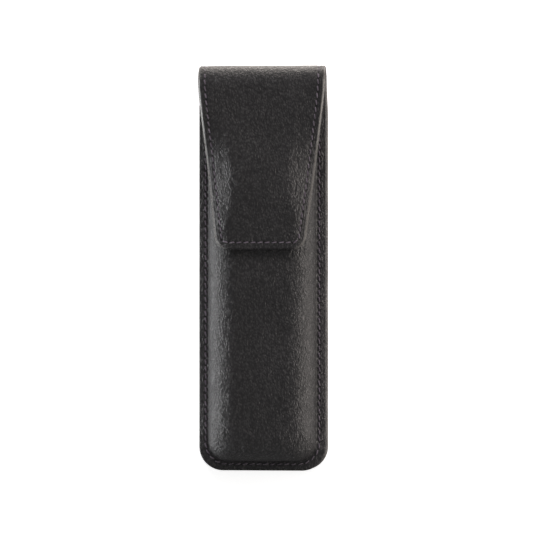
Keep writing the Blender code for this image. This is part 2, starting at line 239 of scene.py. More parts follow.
def new_mesh(name, points, faces, material, **attributes):
    mesh = bpy.data.meshes.new(name)
    mesh.from_pydata([tuple(p) for p in points], [], faces)
    mesh.validate()
    shell = bmesh.new()
    shell.from_mesh(mesh)
    bmesh.ops.recalc_face_normals(shell, faces=shell.faces)
    shell.to_mesh(mesh)
    shell.free()
    mesh.shade_smooth()
    mesh.set_sharp_from_angle(angle=math.radians(60))
    mesh.materials.append(material)
    rest = mesh.attributes.new("rest", "FLOAT_VECTOR", "POINT")
    rest.data.foreach_set("vector", np.asarray(points, np.float32).ravel())
    for key, values in attributes.items():
        layer = mesh.attributes.new(key, "FLOAT", "POINT")
        layer.data.foreach_set("value", np.asarray(values, np.float32))
    made = bpy.data.objects.new(name, mesh)
    bpy.context.scene.collection.objects.link(made)
    return made


def half_round(radius, points):
    """Points (inset, depth) round an edge, from one face to the other."""
    return [(radius * (1 - math.sin(t)), radius * (1 - math.cos(t))) for t in np.linspace(0, math.pi, points)]


def rounded_section(outer, thickness, inner, points=7):
    """A section: out along one face's insets, round the edge, and back in along the other face's insets."""
    return [(i, 0.0) for i in outer] + half_round(thickness / 2, points) + [(i, thickness) for i in inner]


def plain(x):
    """The attributes of a piece without lightened edges or needle holes."""
    return {"edge": 0 * x, "hole": 0 * x}


def sheet(name, outline, section, shape, material):
    """A closed sheet. The section lists (inset, depth) from the middle of one face, round the edge, to the
    middle of the other. Shape turns arrays of x, s, inset and depth into points and attributes."""
    rings = [outline.ring(inset) for inset, _ in section]
    count, left, columns = outline.count, outline.left, outline.columns
    x = [ring[:, 0] for ring in rings]
    s = [ring[:, 1] for ring in rings]
    inset = [np.full(count, i) for i, _ in section]
    depth = [np.full(count, d) for _, d in section]
    faces = []
    for r in range(len(section) - 1):
        a, b = r * count, (r + 1) * count
        faces += [(a + k, b + k, b + k + 1, a + k + 1) for k in range(count - 1)]
    total = len(section) * count
    across = np.linspace(0, 1, columns + 1)[1:-1]
    middles = []
    for r in (0, len(section) - 1):
        rows = []
        for i in range(left):
            low, high = rings[r][i], rings[r][count - 1 - i]
            x.append(low[0] + (high[0] - low[0]) * across)
            s.append(np.full(columns - 1, low[1]))
            inset.append(np.full(columns - 1, section[r][0]))
            depth.append(np.full(columns - 1, section[r][1]))
            between = list(range(total, total + columns - 1))
            rows.append([r * count + i] + between + [r * count + count - 1 - i])
            total += columns - 1
        rows.append([r * count + left + c for c in range(columns + 1)])
        for upper, lower in zip(rows, rows[1:]):
            quads = [(upper[c], lower[c], lower[c + 1], upper[c + 1]) for c in range(columns)]
            faces += quads if r == 0 else [q[::-1] for q in quads]
        middles.append(rows[0])
    outer, inner = middles
    levels = range(1, len(section) - 1)
    left_edge = [r * count for r in levels]
    right_edge = [r * count + count - 1 for r in reversed(levels)]
    faces.append(tuple(outer[::-1] + left_edge + inner + right_edge))
    x, s, inset, depth = (np.concatenate(v) for v in (x, s, inset, depth))
    points, attributes = shape(x, s, inset, depth)
    return new_mesh(name, points, faces, material, **attributes)


def loop_strip(name, outline, section, shape, material):
    """A closed strip that follows the outline but doesn't cross its middle. The section is a closed loop."""
    rings = [outline.ring(inset) for inset, _ in section]
    count, loops = outline.count, len(section)
    faces = []
    for r in range(loops):
        a, b = r * count, (r + 1) % loops * count
        faces += [(a + k, b + k, b + k + 1, a + k + 1) for k in range(count - 1)]
    faces.append(tuple(r * count for r in range(loops)))
    faces.append(tuple(r * count + count - 1 for r in reversed(range(loops))))
    x = np.concatenate([ring[:, 0] for ring in rings])
    s = np.concatenate([ring[:, 1] for ring in rings])
    inset = np.repeat([i for i, _ in section], count)
    depth = np.repeat([d for _, d in section], count)
    points, attributes = shape(x, s, inset, depth)
    return new_mesh(name, points, faces, material, **attributes)


def band(name, half, length, section, shape, material, rows=20, columns=36):
    """A closed piece of the fold: the section, mirrored, is swept along s from 0 to length."""
    s = np.linspace(0, length, rows + 1)
    across = np.linspace(-1, 1, columns + 1)[1:-1]
    loop = [(1.0, inset, depth) for inset, depth in section]
    loop += [(t, section[-1][0], section[-1][1]) for t in across[::-1]]
    loop += [(-1.0, inset, depth) for inset, depth in reversed(section)]
    loop += [(t, section[0][0], section[0][1]) for t in across]
    n = len(s)
    x = np.concatenate([t * (half(s) - inset) for t, inset, _ in loop])
    inset = np.repeat([i for _, i, _ in loop], n)
    depth = np.repeat([d for _, _, d in loop], n)
    faces = []
    for c in range(len(loop)):
        a, b = c * n, (c + 1) % len(loop) * n
        faces += [(a + k, a + k + 1, b + k + 1, b + k) for k in range(n - 1)]
    faces.append(tuple(c * n for c in range(len(loop))))
    faces.append(tuple(c * n + n - 1 for c in reversed(range(len(loop)))))
    points, attributes = shape(x, np.tile(s, len(loop)), inset, depth)
    return new_mesh(name, points, faces, material, **attributes)


def stitches(name, spots, ways, normals, material, sink=0.0):
    """One slanted capsule for each stitch, whose ends dive into its needle holes."""
    spots, ways, normals = (np.asarray(v, float) for v in (spots, ways, normals))
    across = np.cross(normals, ways)
    slanted = ways * math.cos(STITCH_SLANT) + across * math.sin(STITCH_SLANT)
    across = np.cross(normals, slanted)
    stations = np.array([-1.0, -0.93, -0.8, -0.6, -0.3, 0.0, 0.3, 0.6, 0.8, 0.93, 1.0])  # 0 is its middle
    lifted, narrowing, blunt_end, pressed_flat = 0.25, 0.25, 0.55, 0.85  # shares of its radius
    lift = lifted * STITCH_RADIUS - sink - STITCH_DIVE * np.abs(stations) ** 5
    width = STITCH_RADIUS * (1 - narrowing * np.abs(stations) ** 6)
    width = width * np.where(np.abs(stations) == 1, blunt_end, 1)
    sides = STITCH_SIDES
    angle = np.linspace(0, 2 * math.pi, sides, endpoint=False)
    along = stations[None, :, None, None] * STITCH_LENGTH / 2 * slanted[:, None, None, :]
    rise = lift[:, None] + width[:, None] * pressed_flat * np.sin(angle)
    up = rise[None, :, :, None] * normals[:, None, None, :]
    out = (width[:, None] * np.cos(angle))[None, :, :, None] * across[:, None, None, :]
    points = (spots[:, None, None, :] + along + up + out).reshape(-1, 3)
    faces = []
    size = len(stations) * sides
    for k in range(len(spots)):
        for j in range(len(stations) - 1):
            a = k * size + j * sides
            b = a + sides
            faces += [(a + i, a + (i + 1) % sides, b + (i + 1) % sides, b + i) for i in range(sides)]
        faces.append(tuple(k * size + i for i in reversed(range(sides))))
        faces.append(tuple(k * size + size - sides + i for i in range(sides)))
    shade_step, turns = 0.618, 3.2  # from stitch to stitch, and the thread's turns in half a stitch
    tone = np.repeat(np.arange(len(spots)) * shade_step % 1, size)
    made = new_mesh(name, points, faces, material, tone=tone)
    twist = np.tile(np.repeat(stations, sides) * turns + np.tile(angle, len(stations)) / math.pi, len(spots))
    layer = made.data.attributes.new("twist", "FLOAT", "POINT")
    layer.data.foreach_set("value", twist.astype(np.float32))
    return made


# ---- materials


def shader(name, colour, roughness, **sockets):
    material = bpy.data.materials.new(name)
    material.use_nodes = True
    nodes = material.node_tree.nodes
    main = nodes["Principled BSDF"]
    main.inputs["Base Color"].default_value = (*colour, 1)
    main.inputs["Roughness"].default_value = roughness
    for key, value in sockets.items():
        main.inputs[key.replace("_", " ")].default_value = value
    return material, main


def node(material, kind, **settings):
    made = material.node_tree.nodes.new(kind)
    for key, value in settings.items():
        if hasattr(made, key):
            setattr(made, key, value)
        else:
            made.inputs[key.replace("_", " ")].default_value = value
    return made


def join(material, source, target):
    material.node_tree.links.new(source, target)


def feed(material, socket, value):
    """Joins an output to the socket, or sets it to a number or a colour."""
    if isinstance(value, bpy.types.NodeSocket):
        join(material, value, socket)
    else:
        socket.default_value = (*value, 1) if isinstance(value, tuple) else value


def rest_place(material, stretch=(1, 1, 1)):
    """Where each point of the leather lies at rest, in millimetres, so that the grain stays put in a pose."""
    place = node(material, "ShaderNodeAttribute", attribute_name="rest")
    scale = node(material, "ShaderNodeMapping")
    scale.inputs["Scale"].default_value = [k / MM for k in stretch]
    join(material, place.outputs["Vector"], scale.inputs["Vector"])
    return scale.outputs["Vector"]


def painted(material, name):
    """An attribute that the mesh carries: edge, hole, tone or twist."""
    return node(material, "ShaderNodeAttribute", attribute_name=name).outputs["Fac"]


def grain(material, place, kind="ShaderNodeTexNoise", **settings):
    """A texture laid over a place."""
    made = node(material, kind, **settings)
    join(material, place, made.inputs["Vector"])
    return made


def maths(material, operation, a, b=0.5):
    made = node(material, "ShaderNodeMath", operation=operation)
    feed(material, made.inputs[0], a)
    feed(material, made.inputs[1], b)
    return made.outputs[0]


def times(material, a, b):
    return maths(material, "MULTIPLY", a, b)


def spread(material, value, low, high, new_low, new_high):
    """Carries the range from low to high over to another range."""
    made = node(material, "ShaderNodeMapRange")
    join(material, value, made.inputs["Value"])
    for key, number in (("From Min", low), ("From Max", high), ("To Min", new_low), ("To Max", new_high)):
        made.inputs[key].default_value = number
    return made.outputs["Result"]


def mix(material, share, first, second, how="MIX"):
    """Mixes two colours, each a socket or (red, green, blue)."""
    made = node(material, "ShaderNodeMix", data_type="RGBA", blend_type=how)
    for index, value in ((0, share), (6, first), (7, second)):  # the share and the two colours
        feed(material, made.inputs[index], value)
    return made.outputs[2]


def bumps(material, main, layers):
    """Stacks bump nodes. Each layer is (height, distance in metres, strength)."""
    last = None
    for height, distance, strength in layers:
        made = node(material, "ShaderNodeBump", Strength=strength, Distance=distance)
        join(material, height, made.inputs["Height"])
        if last:
            join(material, last, made.inputs["Normal"])
        last = made.outputs["Normal"]
    join(material, last, main.inputs["Normal"])


def black_leather():
    """Nappa with a fine pebble grain and small creases, with painted shade in the grain's valleys and the
    needle holes, painted light on the grain's tops, and edges lightened by grey edge paint and a painted
    highlight.
    """
    material, main = shader("black_nappa", (0.022, 0.021, 0.022), 0.45, Specular_IOR_Level=0.5)
    # Painted shade in the grain's valleys and painted light on its tops, mixed with random tone from cell to
    # cell
    valley_shade_colour, lit_tops_colour = (0.0130, 0.0122, 0.0130), (0.0385, 0.0367, 0.0378)
    # The edges' colour is grey edge paint lightened further into a painted highlight; the needle holes'
    # colour is painted shade
    edge_paint_and_highlight, painted_hole_shade = (0.095, 0.089, 0.085), (0.12, 0.12, 0.12)
    warp_share, tops_share, detail_share, cell_share = 0.35, 0.50, 0.28, 0.22
    edge_polish, hole_roughness = 0.16, 0.4

    place = rest_place(material, (1.0, 0.62, 1.0))
    warp = grain(material, place, Scale=0.9, Detail=2.0, Roughness=0.5)
    bent = mix(material, warp_share, place, warp.outputs["Color"], "LINEAR_LIGHT")
    pebble = grain(material, bent, "ShaderNodeTexVoronoi", feature="SMOOTH_F1", Scale=1.4, Smoothness=0.25)
    fine = grain(material, place, Scale=2.4, Detail=2.0, Roughness=0.6).outputs["Fac"]
    creased = rest_place(material, (1.0, 0.6, 1.0))
    crease = grain(material, creased, Scale=0.32, Detail=4.0, Roughness=0.62, Distortion=1.2).outputs["Fac"]
    patch = grain(material, place, Scale=0.055, Detail=3.0, Roughness=0.55).outputs["Fac"]
    edge, hole = painted(material, "edge"), painted(material, "hole")

    tops = spread(material, pebble.outputs["Distance"], 0.15, 0.62, 1, 0)
    detail = spread(material, fine, 0.32, 0.68, 0, 1)
    cell = node(material, "ShaderNodeSeparateColor")
    join(material, pebble.outputs["Color"], cell.inputs[0])
    # The pebbles' painted light and shade, with random detail and cell tone; the same mix also sets the
    # roughness
    shade = maths(material, "ADD", times(material, tops, tops_share), times(material, detail, detail_share))
    shade = maths(material, "ADD", shade, times(material, cell.outputs[0], cell_share))
    colour = mix(material, spread(material, shade, 0.2, 0.8, 0, 1), valley_shade_colour, lit_tops_colour)
    tone = node(material, "ShaderNodeVectorMath", operation="SCALE")
    join(material, colour, tone.inputs[0])
    join(material, spread(material, patch, 0.35, 0.65, 0.80, 1.15), tone.inputs["Scale"])
    # Lightens the edges: grey edge paint with a painted highlight
    lit_edge_tone = mix(material, edge, tone.outputs[0], edge_paint_and_highlight)
    # Darkens the needle holes: painted shade
    join(material, mix(material, hole, lit_edge_tone, painted_hole_shade, "MULTIPLY"), main.inputs["Base Color"])

    rough = spread(material, patch, 0.3, 0.7, 0.35, 0.42)
    rough = maths(material, "ADD", rough, spread(material, shade, 0.2, 0.8, 0.14, -0.09))
    rough = maths(material, "SUBTRACT", rough, times(material, edge, edge_polish))
    rough = maths(material, "ADD", rough, times(material, hole, hole_roughness))
    join(material, rough, main.inputs["Roughness"])
    away_from_edge = maths(material, "SUBTRACT", 1.0, edge)
    heights = ((tops, 0.00014, 0.9), (fine, 0.00015, 0.8), (crease, 0.0007, 0.9))
    bumps(material, main, [(times(material, height, away_from_edge), *how) for height, *how in heights])
    return material


def lining_cloth():
    """Brushed charcoal lining with a faint nap."""
    material, main = shader(
        "charcoal_cloth", (0.055, 0.053, 0.055), 0.92, Sheen_Weight=0.25, Sheen_Roughness=0.4)
    dark, light = (0.038, 0.037, 0.039), (0.075, 0.073, 0.075)
    nap_share, patch_share = 0.55, 0.45
    brushed = rest_place(material, (1.0, 0.35, 1.0))
    nap = grain(material, brushed, Scale=3.0, Detail=4.0, Roughness=0.7).outputs["Fac"]
    patch = grain(material, rest_place(material), Scale=0.09, Detail=2.0, Roughness=0.5).outputs["Fac"]
    both = maths(material, "ADD", times(material, nap, nap_share), times(material, patch, patch_share))
    colour = mix(material, spread(material, both, 0.35, 0.65, 0, 1), dark, light)
    join(material, colour, main.inputs["Base Color"])
    join(material, spread(material, nap, 0.3, 0.7, 0.85, 0.97), main.inputs["Roughness"])
    bumps(material, main, [(nap, 0.00025, 0.6)])
    return material


def waxed_thread():
    """Twisted dark thread with a slight wax shine."""
    material, main = shader("waxed_thread", (0.062, 0.052, 0.064), 0.55)
    dark, light = (0.115, 0.095, 0.120), (0.170, 0.143, 0.175)
    wave = maths(material, "SINE", times(material, painted(material, "twist"), math.tau))
    join(material, mix(material, painted(material, "tone"), dark, light), main.inputs["Base Color"])
    join(material, spread(material, wave, -1, 1, 0.62, 0.46), main.inputs["Roughness"])
    bumps(material, main, [(wave, 0.00012, 0.8)])
    return material


def object_place(material):
    """Where each point lies in its own object, for the parts without a rest attribute."""
    return node(material, "ShaderNodeTexCoord").outputs["Object"]


def board():
    """Pressed fibre board."""
    material, main = shader("fibre_board", (0.26, 0.19, 0.13), 0.85)
    dark, light = (0.20, 0.145, 0.095), (0.33, 0.25, 0.17)
    fibre = grain(material, object_place(material), Scale=900.0, Detail=4.0, Roughness=0.7).outputs["Fac"]
    join(material, mix(material, fibre, dark, light), main.inputs["Base Color"])
    bumps(material, main, [(fibre, 0.0001, 0.4)])
    return material


def nickel():
    """Plated magnet."""
    material, main = shader("magnet_plate", (0.60, 0.60, 0.58), 0.30, Metallic=1.0)
    scuff = grain(material, object_place(material), Scale=1500.0, Detail=3.0, Roughness=0.6).outputs["Fac"]
    join(material, spread(material, scuff, 0.3, 0.7, 0.22, 0.42), main.inputs["Roughness"])
    bumps(material, main, [(scuff, 0.00002, 0.3)])
    return material


LEATHER = black_leather()
CLOTH = lining_cloth()
THREAD = waxed_thread()
BOARD = board()


# ---- the strap: back, fold and flap


def flap_half(a):
    """Half the strap's width at arc position a: parallel over the fold, then tapered along the flap."""
    taper_softness = 5 * MM
    return FOLD_HALF - FLAP_TAPER * soft_ramp(a - FLAP_START, taper_softness)


def back_half(a):
    """Half the strap's width on the back, which narrows a little into the fold."""
    widens_from, widest_at = 2 * MM, -9 * MM
    return FOLD_HALF + (BACK_HALF - FOLD_HALF) * smooth(widens_from, widest_at, a)


def wing_droop(x, a):
    """How far the flap's sides hang below its flat middle: most beside the disc, least at the fold."""
    fade = WING_TIP_FADE * smooth(-WING_TIP_START, -WING_TIP_STOP, a - FLAP_END)
    ramp = smooth(WING_TOP, WING_FULL, a - FLAP_START) * (1 - fade)
    widening = smooth(WING_DISC_NEAR, WING_DISC_FAR, np.abs(a - MAGNET_AT))
    flat = WING_FLAT_HALF + WING_DISC_WIDENING * widening
    curl = soft_ramp(np.abs(x) - flat, WING_SOFTNESS) - soft_ramp(-flat, WING_SOFTNESS)
    return WING_SLOPE * ramp * curl


def strap_place(x, a, depth):
    """The point of the strap at x across, a along its outer face from the fold's start, and depth inwards."""
    theta = np.clip(a / FOLD_RADIUS, 0, math.pi)
    y = FOLD_Y + (FOLD_RADIUS - depth) * np.sin(theta) + np.minimum(a, 0) - np.maximum(a - FLAP_START, 0)
    z = FOLD_RADIUS - (FOLD_RADIUS - depth) * np.cos(theta)
    x = x + STRAP_SHIFT - TIP_SHIFT * smooth(FLAP_START, FLAP_END, a)
    tip = smooth(FLAP_END - TIP_DROP_LENGTH, FLAP_END + TIP_DROP_RUNOUT, a)
    full = smooth(-TIP_DROP_LENGTH, TIP_DROP_RUNOUT, 0)
    z = z - wing_droop(x, a) * (a > FLAP_PIECE_START) - TIP_DROP * tip / full
    return np.stack([x, y, z], axis=1)


def strap_relief(x, a):
    """Soft unevenness of the strap's outer face: waves, the disc's outline and dents by the tip's corners."""
    disc_rise, disc_foot, disc_top, disc_squash = 0.22 * MM, 11.0 * MM, 8.2 * MM, 0.92
    dent, dent_width, dent_across, dent_from_tip = 0.16 * MM, 2.6 * MM, 10.6 * MM, 7.5 * MM
    fade_in = 12 * MM
    waves = 0.07 * MM * wander(x, a, 17 * MM, 1) + 0.035 * MM * wander(x, a, 6 * MM, 2)
    reach = np.hypot(x, (a - MAGNET_AT) * disc_squash)
    disc = -disc_rise * smooth(disc_foot, disc_top, reach)
    dents = sum(
        dent * bell(np.hypot(x - side, a - FLAP_END + dent_from_tip), dent_width)
        for side in (-dent_across, dent_across))
    return waves + (disc + dents) * smooth(FLAP_START, FLAP_START + fade_in, a)


def strap_seam(a, inset):
    """Depth of the channel that the stitches lie in: deep on the back, shallow on the fold and flap."""
    shallow, extra_on_back, change, channel_width = 0.14 * MM, 0.42 * MM, 4 * MM, 0.62 * MM
    edge_line, edge_line_inset, edge_line_width = 0.10 * MM, 1.45 * MM, 0.28 * MM
    deep = shallow + extra_on_back * smooth(change, -change, a)
    line = SEAM_INSET + (FLAP_SEAM - SEAM_INSET) * smooth(0, EIGHTH, a)
    crease = edge_line * bell(inset - edge_line_inset, edge_line_width) * smooth(0, EIGHTH, a)
    return deep * bell(inset - line, channel_width) + crease


def strap_surface(way, start, seam):
    """A place function for stitches on the strap's outer face, where s runs way from arc position start."""

    def surface(x, s):
        a = start + way * s
        return strap_place(x, a, strap_relief(x, a) + strap_seam(a, np.full(len(x), seam)))

    return surface


def strap_shape(way, start, holes):
    """A shape function for a leather piece whose s runs way (1 or -1) from arc position start."""

    def shape(x, s, inset, depth):
        # The second of these is the strength of the painted shade in the needle holes
        pit_depth, painted_pit_shade, inner_share, cut_waver = 0.22 * MM, 0.45, 0.5, 0.06 * MM
        lit_edge_from, lit_edge_full, lit_side_from, lit_side_full = 0.95 * MM, 0.45 * MM, 12.0 * MM, 16.0 * MM
        a = start + way * s
        face = smooth(0.75 * SKIN, 0.1 * SKIN, depth)
        pit = bell(nearest(x, s, holes), NEEDLE_HOLE)
        lower = (strap_relief(x, a) + strap_seam(a, inset) + pit_depth * pit) * face
        shared = strap_relief(x, a) * (1 - face) * inner_share
        nudge = cut_waver * wander(np.sign(x), a, 9 * MM, 5)
        points = strap_place(x + np.sign(x) * nudge, a, depth + lower + shared)
        # The edge mark is grey edge paint and a painted highlight on the sides; it stays off the tip's end,
        # which faces down and is left dark as painted shade
        edge = smooth(lit_edge_from, lit_edge_full, inset) * smooth(lit_side_from, lit_side_full, np.abs(x))
        return points, {"edge": edge, "hole": pit * face * painted_pit_shade}

    return shape


def bend_over(obj):
    """Bakes the piece's placement into its mesh. The piece lies across one crease, from the strip before it
    to the strip after; nothing here bends it.
    """
    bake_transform(obj)


def finish_piece(obj, crease, slot, *nodes):
    """Bakes a piece that lies over a crease in place, or has it ride on the case (None) or the flap (past the
    last crease).
    """
    if crease is None:
        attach(obj, "case")
    elif crease == len(creases):
        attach(obj, "flap")
    else:
        bend_over(obj)
    if nodes:
        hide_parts(*nodes)


RINGS_DEPTH = 6.2 * MM  # a sheet's rings reach this far in from its edge


def face_insets(seam):
    """Ring insets on a stitched face, finer near the seam, from the middle outwards."""
    near = [seam + k * MM for k in (1.3, 0.85, 0.5, 0.25, 0, -0.25, -0.5, -0.8)]
    middle = list(np.arange(RINGS_DEPTH, seam + 1.4 * MM, -0.9 * MM))
    edge_line = [1.62 * MM, 1.45 * MM, 1.3 * MM]
    return middle + near + edge_line


def turned_section():
    """The flap's and fold's leather: one thickness in the middle, turned over at the edge."""
    turned = rounded_section(face_insets(FLAP_SEAM), TURNED, (2 * MM, 3 * MM, TURNED_WIDTH), points=13)
    return turned + [(TURNED_WIDTH + 0.3 * MM, SKIN), (RINGS_DEPTH, SKIN)]


def body_corner(inset):
    """The radius of the body's bottom corners at an inset."""
    return max(BODY_RADIUS - CORNER_TIGHTENING * inset, CROWN_RADIUS)


flap_outline = Outline(
    lambda s: flap_half(s + FLAP_PIECE_START), FLAP_END - FLAP_PIECE_START,
    lambda inset: max(FLAP_RADIUS - inset, 1.2 * MM), taper=FLAP_TAPER, columns=40)
back_outline = Outline(lambda s: back_half(EIGHTH - s), BACK_END + EIGHTH, body_corner)


def lay_stitches(name, spots, ways, place, flip=False, sink=0.0):
    """Stitches on a surface given by a place function of (x, s). Flip turns them to its other side."""
    step = 0.05 * MM
    points = place(spots[:, 0], spots[:, 1])
    ahead = place(spots[:, 0] + ways[:, 0] * step, spots[:, 1] + ways[:, 1] * step) - points
    beside = place(spots[:, 0] - ways[:, 1] * step, spots[:, 1] + ways[:, 0] * step) - points
    ahead /= np.linalg.norm(ahead, axis=1)[:, None]
    normals = np.cross(beside, ahead)
    normals /= np.linalg.norm(normals, axis=1)[:, None]
    if flip:
        normals = -normals
    return stitches(name, points, ahead, normals, THREAD, sink)


def strap_rows(length):
    """Stitch spots down both sides of a fold piece: (x, s) with s from 0 to length."""
    number = max(int(round(length / STITCH_PITCH)), 1)
    pitch = length / number
    at = pitch * (np.arange(number) + 0.5)
    half = FOLD_HALF - FLAP_SEAM
    spots = np.array([(side * half, s) for side in (-1, 1) for s in at])
    ways = np.array([(0.0, 1.0 if side < 0 else -1.0) for side in (-1, 1) for _ in at])
    return spots, ways


def holes_between(spots, ways, pitch=STITCH_PITCH):
    """Needle holes at both ends of every stitch."""
    return np.concatenate([spots - ways * pitch / 2, spots[-1:] + ways[-1:] * pitch / 2])


def build_flap():
    spots, ways = flap_outline.spaced(FLAP_SEAM, STITCH_PITCH)
    holes = holes_between(spots, ways)
    shape = strap_shape(1, FLAP_PIECE_START, holes)
    cover = sheet("flap_cover", flap_outline, turned_section(), shape, LEATHER)
    finish_piece(cover, 3, "black_leather", "flap_leather", "fold_front_leather")
    surface = strap_surface(1, FLAP_PIECE_START, FLAP_SEAM)
    row = lay_stitches("flap_stitches", spots, ways, surface, sink=0.04 * MM)
    finish_piece(row, 3, "sewing_thread", "flap_thread", "fold_front_thread_left", "fold_front_thread_right")

    def underside(x, s):
        return strap_place(x, s + FLAP_PIECE_START, np.full(len(x), LINING_DEPTH + LINING))

    under = lay_stitches("flap_under_stitches", spots, ways, underside, flip=True, sink=0.05 * MM)
    finish_piece(under, 3, "sewing_thread", "flap_under_thread")

    def lining_shape(x, s, inset, depth):
        channel, channel_width, pit_depth, pit_width = 0.10 * MM, 0.5 * MM, 0.12 * MM, 0.45 * MM
        quilt = channel * bell(inset - (FLAP_SEAM - LINING_INSET), channel_width) * (depth > LINING / 2)
        pit = bell(nearest(x, s, holes), pit_width) * (depth > LINING / 2)
        points = strap_place(x, s + FLAP_PIECE_START, LINING_DEPTH + depth - quilt - pit_depth * pit)
        return points, {"edge": smooth(1 * MM, 0, inset), "hole": pit}

    inner = Outline(
        lambda s: flap_half(s + FLAP_PIECE_START) - LINING_INSET, FLAP_END - FLAP_PIECE_START - LINING_INSET,
        lambda inset: max(FLAP_RADIUS - LINING_INSET - inset, 0.8 * MM), taper=FLAP_TAPER, columns=30,
        row_step=0.7 * MM)
    faces = [k * MM for k in (4.2, 3.0, 2.1, 1.7, 1.4, 1.1, 0.7)]
    section = rounded_section(faces[:3], LINING, faces[::-1])
    cloth = sheet("flap_lining_cloth", inner, section, lining_shape, CLOTH)
    finish_piece(cloth, 3, "charcoal_lining", "flap_lining", "fold_front_lining")


def build_flap_board():
    """The board inside the flap, with a round hole for the magnet, as rings from the hole to its edge."""
    inset, top, hole, rings = 4.4 * MM, FLAP_START + 6 * MM, 8.4 * MM, 12
    levels = (SKIN + 0.2 * MM, SKIN + 1.0 * MM)  # depths of its two faces
    outline = Outline(
        lambda s: flap_half(s + top), FLAP_END - top, lambda i: max(FLAP_RADIUS - i, 1.5 * MM),
        taper=FLAP_TAPER, columns=24, row_step=1.5 * MM, corner_rows=5)
    edge = outline.ring(inset)
    across = np.linspace(edge[-1, 0], edge[0, 0], 25)[1:-1]
    edge = np.concatenate([edge, np.stack([across, np.zeros(len(across))], axis=1)]) + (0, top)
    ray = edge - (0, MAGNET_AT)
    reach = np.linalg.norm(ray, axis=1)[:, None]
    flat = np.concatenate([
        (0, MAGNET_AT) + ray / reach * (hole + (reach - hole) * t) for t in np.linspace(0, 1, rings + 1)])
    loops = [(0, k) for k in range(rings + 1)] + [(1, k) for k in range(rings, -1, -1)]
    count = len(edge)
    points = np.concatenate([strap_place(*flat.T, np.full(len(flat), level)) for level in levels])
    faces = []
    for (level, k), (next_level, next_k) in zip(loops, loops[1:] + loops[:1]):
        a, b = (level * (rings + 1) + k) * count, (next_level * (rings + 1) + next_k) * count
        faces += [(a + i, a + (i + 1) % count, b + (i + 1) % count, b + i) for i in range(count)]
    made = new_mesh("flap_board", points, faces, BOARD)
    finish_piece(made, 4, "stiffener_board", "flap_stiffener")


def build_fold():
    """The two pieces that lie over the middle creases."""
    for index, part in ((1, "rear"), (2, "top")):
        start = index * EIGHTH
        spots, ways = strap_rows(EIGHTH)
        shape = strap_shape(1, start, holes_between(spots, ways, EIGHTH / 3))
        half = lambda s: flap_half(s + start)
        cover = band(f"fold_leather_{part}", half, EIGHTH, turned_section(), shape, LEATHER)
        finish_piece(cover, index, "black_leather", f"fold_{part}_leather")
        surface = strap_surface(1, start, FLAP_SEAM)
        row = lay_stitches(f"fold_stitches_{part}", spots, ways, surface, sink=0.22 * MM)
        finish_piece(row, index, "sewing_thread", f"fold_{part}_thread_left", f"fold_{part}_thread_right")

        def lining_shape(x, s, inset, depth):
            return strap_place(x, s + start, LINING_DEPTH + depth), plain(x)

        section = rounded_section([4 * MM], LINING, [4 * MM])
        cloth = band(f"fold_lining_{part}", lambda s: half(s) - LINING_INSET, EIGHTH, section, lining_shape,
                     CLOTH, rows=10, columns=20)
        finish_piece(cloth, index, "charcoal_lining", f"fold_{part}_lining")


def build_back():
    spots, ways = back_outline.spaced(SEAM_INSET, STITCH_PITCH)
    shape = strap_shape(-1, EIGHTH, holes_between(spots, ways))
    section = rounded_section(face_insets(SEAM_INSET), BACK_SKIN, (1.5 * MM, 3 * MM, RINGS_DEPTH), points=9)
    cover = sheet("back_leather", back_outline, section, shape, LEATHER)
    finish_piece(cover, 0, "black_leather", "back_panel")
    surface = strap_surface(-1, EIGHTH, SEAM_INSET)
    row = lay_stitches("back_stitches", spots, ways, surface, flip=True)
    finish_piece(row, 0, "sewing_thread", "back_seam_thread")

    clearance, cut, rounder = 0.08 * MM, 0.65 * MM, 0.5 * MM

    def lining_shape(x, s, inset, depth):
        return strap_place(x, EIGHTH - s, LINING_DEPTH + depth + clearance), plain(x)

    inner_outline = Outline(
        lambda s: back_half(EIGHTH - s) - cut, BACK_END + EIGHTH - cut,
        lambda inset: max(BODY_RADIUS - rounder - CORNER_TIGHTENING * inset, CROWN_RADIUS), columns=20,
        row_step=1.2 * MM, corner_rows=16)
    section = rounded_section([6 * MM, 3 * MM], LINING, [3 * MM, 6 * MM])
    cloth = sheet("back_lining_cloth", inner_outline, section, lining_shape, CLOTH)
    finish_piece(cloth, 0, "charcoal_lining", "back_lining")


# ---- the moulded front


def rim_fall(inset):
    """How far the rim's face drops towards its edge."""
    return RIM_FALL * np.clip(1 - inset / RIM_FALL_WIDTH, 0, 1) ** 1.5


def bottom_lift(s, inset):
    """The rim doesn't drop along the bottom, so this takes the drop out again there."""
    return rim_fall(inset) * smooth(-10 * MM, -4 * MM, s - FRONT_LENGTH)


def front_profile():
    """The outer face's section from the rim to the crown's middle: (inset, height), even and eased."""
    flange = [(i, FLANGE_TOP) for i in np.linspace(0.7 * MM, BASE_INSET, 60)]
    turn = np.linspace(0, math.pi / 2, 160)
    crown = [(CENTRE_INSET - SHOULDER * math.cos(t), FLANGE_TOP + CROWN_RISE * math.sin(t)) for t in turn]
    line = np.array(flange + crown[1:])
    line[:, 1] -= rim_fall(line[:, 0])
    along = lengths(line)
    step, reach = 0.1 * MM, 13  # spacing, and how many points either side the smoothing takes in
    at = np.arange(0, along[-1], step)
    even = np.stack([np.interp(at, along, line[:, k]) for k in (0, 1)], axis=1)
    kernel = np.hanning(2 * reach + 1)
    kernel /= kernel.sum()
    padded = np.concatenate([even[:1] + (even[:1] - even[1 : reach + 1][::-1]), even,
                             even[-1:] + (even[-1:] - even[-reach - 1 : -1][::-1])])
    return np.stack([np.convolve(padded[:, k], kernel, mode="valid") for k in (0, 1)], axis=1)


PROFILE = front_profile()
PROFILE_TURN = np.gradient(PROFILE, axis=0)
PROFILE_TURN /= np.linalg.norm(PROFILE_TURN, axis=1)[:, None]


